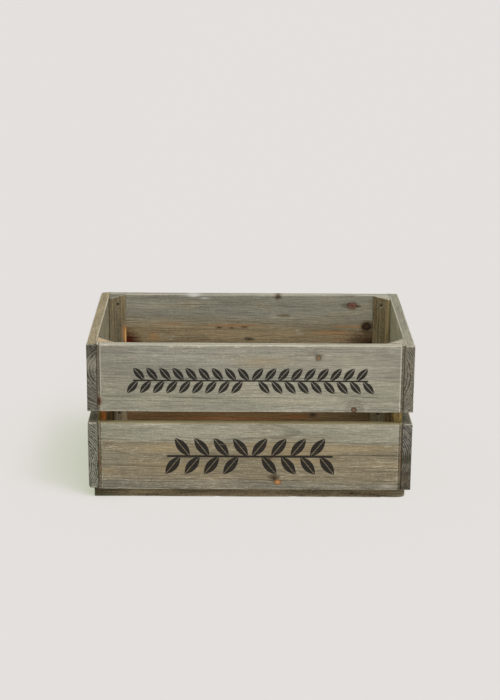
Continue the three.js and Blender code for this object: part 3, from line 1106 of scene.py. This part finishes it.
def face_boards():
    """Front and back boards, whose ends meet the end boards. The front ones are chamfered."""
    boards = []
    for face, outer in (("front", -1), ("back", 1)):
        for level in ("upper", "lower"):
            board = Block(f"{face}_{level}_board", (X, Z, Y))
            board.join_side(0, -1)
            board.join_side(0, 1)
            if face == "front":
                board.chamfer_ends(outer)
            boards.append(board)
    return boards


def end_boards():
    """End boards, whose inner faces meet the front and back boards near both ends."""
    boards = []
    for end, inner in (("left", 1), ("right", -1)):
        for level in ("upper", "lower"):
            board = Block(f"{end}_{level}_board", (Y, Z, X))
            board.join_side(2, inner, along=(-1, -0.9))
            board.join_side(2, inner, along=(0.9, 1))
            if board.node == "left_upper_board":
                board.soften((1, 1, -1), extra=1.4, reach=9)
            if board.node == "left_lower_board":
                board.soften((-1, -1, -1), extra=2.2, reach=20)
            boards.append(board)
    return boards


def posts():
    """Corner posts, whose square sides meet the boards."""
    found = []
    for face, inward_y in (("front", 1), ("back", -1)):
        for end, inward_x in (("left", 1), ("right", -1)):
            post = Block(f"{face}_{end}_post", (Z, X, Y))
            post.slant(inward_x, inward_y)
            post.join_side(1, -inward_x)
            post.join_side(2, -inward_y)
            found.append(post)
    return found


def slats():
    found = [Block(f"{place}_base_slat", (X, Y, Z)) for place in ("front", "middle", "back")]
    found[0].soften((1, -1, -1), extra=1.8, reach=9)
    return found


def add_object(name, data):
    made = bpy.data.objects.new(name, data)
    bpy.context.scene.collection.objects.link(made)
    return made


def add_wood():
    for block in face_boards() + end_boards() + posts() + slats():
        look = LOOKS[block.node]
        piece = add_object("worn_" + block.node, worn_mesh(block, look.seed))
        piece.data.materials.append(wood_material(block, look))
        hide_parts(block.node)
        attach(piece, "root")


def dress_brads():
    steel = brad_material()
    for name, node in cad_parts.items():
        if "_brad_" in name:
            node.data.materials.clear()
            node.data.materials.append(steel)


def floor_material():
    """Pale floor, seen partly at an even level: less so in shadow, and not under the crate."""
    graph = Graph(bpy.data.materials.new("studio_floor"))
    seen = graph.seen()
    along, inward, _ = graph.parts("TexCoord", "Object", (X, Y, Z))
    behind = graph.ease(0.8 * inward + 0.6 * along, *SHADOW_FRONT)
    beside = graph.ease(0.62 * inward - 0.78 * along, *SHADOW_SIDE) * behind
    beyond = graph.ease(along * -1, *SHADOW_END)
    under = (1 - graph.ease(abs(along), *UNDER_LENGTH)) * (1 - graph.ease(abs(inward), *UNDER_DEPTH))
    lit_share = LIT_EVERYWHERE + LIT_IN_SHADOW * beside * (1 - beyond)
    lit = (*(part / LIGHT_LEVEL for part in PALE_FLOOR[:3]), 1)
    taken = [part * share for part, share in zip(PALE_FLOOR, SHADOW_TAKES)]
    seen_lit = graph.scale([part / LIGHT_LEVEL for part in taken], lit_share)
    dimmed = graph.scale(taken, lit_share)
    even = graph.result("VectorMath", (PALE_FLOOR[:3], dimmed), operation="SUBTRACT")
    evened = seen * (1 - under)
    graph.feed(graph.shader, {
        "Base Color": graph.mix(evened, lit, seen_lit),
        "Emission Color": even,
        "Emission Strength": evened,
        "Roughness": 0.95,
        "Specular IOR Level": 0,
    })
    return graph.owner


def add_floor():
    reach = 8
    mesh = bpy.data.meshes.new("studio_floor")
    corners = [(-reach, -reach, 0), (reach, -reach, 0), (reach, reach, 0), (-reach, reach, 0)]
    mesh.from_pydata(corners, [], [(0, 1, 2, 3)])
    mesh.materials.append(floor_material())
    floor = add_object("studio_floor", mesh)


def add_light():
    """Soft light from above, and a broad lamp from the front right. The sky is seen as pale as the floor."""
    lamp_share = 0.42
    towards_lamp = Vector((0.38, -0.42, 0.94)).normalized()
    lamp = bpy.data.lights.new("broad_lamp", "SUN")
    lamp.angle = math.radians(40)
    lamp.color = LAMP_TINT
    lamp.energy = LIGHT_LEVEL * lamp_share * math.pi / towards_lamp.z
    holder = add_object("broad_lamp", lamp)
    holder.rotation_mode = "QUATERNION"
    holder.rotation_quaternion = towards_lamp.to_track_quat("Z", "Y")
    world = bpy.data.worlds.new("studio_sky")
    graph = Graph(world)
    seen = graph.seen()
    sky_level = LIGHT_LEVEL * (1 - lamp_share)
    graph.feed(graph.shader, {
        "Color": graph.mix(seen, SKY_TINT, PALE_FLOOR),
        "Strength": sky_level + (1 - sky_level) * seen,
    })
    bpy.context.scene.world = world


def add_camera():
    """Camera at the photograph's place: in front, a little above, with a long lens."""
    place = Vector((-0.01529, -1.8767, 0.6976))
    pitch = math.radians(16.653)
    yaw = math.radians(0.469)
    roll = math.radians(0.446)
    level = math.radians(90)
    turns = ((-yaw, "Z"), (level - pitch, "X"), (roll, "Z"))
    lens = bpy.data.cameras.new("camera")
    lens.lens = 89.04
    lens.sensor_width = 36
    placing = Matrix.Translation(place)
    for angle, axis in turns:
        placing @= Matrix.Rotation(angle, 4, axis)
    camera = add_object("camera", lens)
    camera.matrix_world = placing
    bpy.context.scene.camera = camera


add_wood()
dress_brads()
add_floor()
add_light()
add_camera()
bpy.context.scene.view_settings.view_transform = "Standard"
